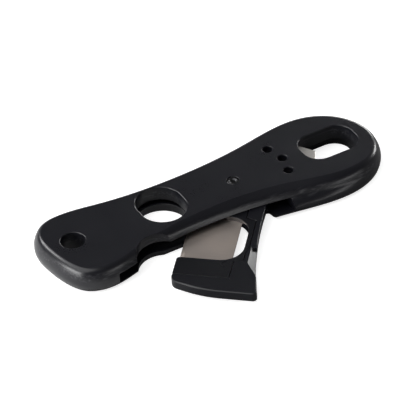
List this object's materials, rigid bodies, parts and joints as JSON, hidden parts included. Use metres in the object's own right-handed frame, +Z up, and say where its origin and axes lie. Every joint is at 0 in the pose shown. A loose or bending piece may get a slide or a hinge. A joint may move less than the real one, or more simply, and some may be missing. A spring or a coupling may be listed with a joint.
{
  "type": "string winder",
  "caption": "Flat pocket string winder and cutter: turning hole for tuner buttons, round cutting hole, and a blade arm that swings out of the front edge.",
  "frame": {"origin": "on the arm's pivot axis, in the plane of the underside", "axes": "+X along the handle to the turning hole, +Y to the closed back edge, +Z up out of the top face, along the pivot"},
  "size_m": [0.1309, 0.0735, 0.0096],
  "materials": {
    "shell_plastic": "semi-gloss moulded black plastic",
    "arm_plastic": "satin moulded black plastic",
    "blade_steel": "brushed blade steel",
    "lip_steel": "satin stamped steel",
    "screw_steel": "black oxide steel",
    "pin_steel": "black oxide steel",
    "washer_steel": "spring steel"
  },
  "bodies": {
    "handle": {"upper_shell": "shell_plastic", "lower_shell": "shell_plastic", "shell_screws": "screw_steel", "steel_lip_plate": "lip_steel", "pivot_pin": "pin_steel", "upper_washer": "washer_steel", "spring_washer": "washer_steel"},
    "arm": {"arm_frame": "arm_plastic", "blade_cover": "arm_plastic", "blade": "blade_steel", "clamp_screws": "screw_steel"}
  },
  "joints": [
    {"name": "arm_swing", "type": "hinge", "parent": "handle", "child": "arm", "pos_m": [0, 0, 0], "axis": [0, 0, 1], "range_deg": [-49.5, 35]}
  ]
}
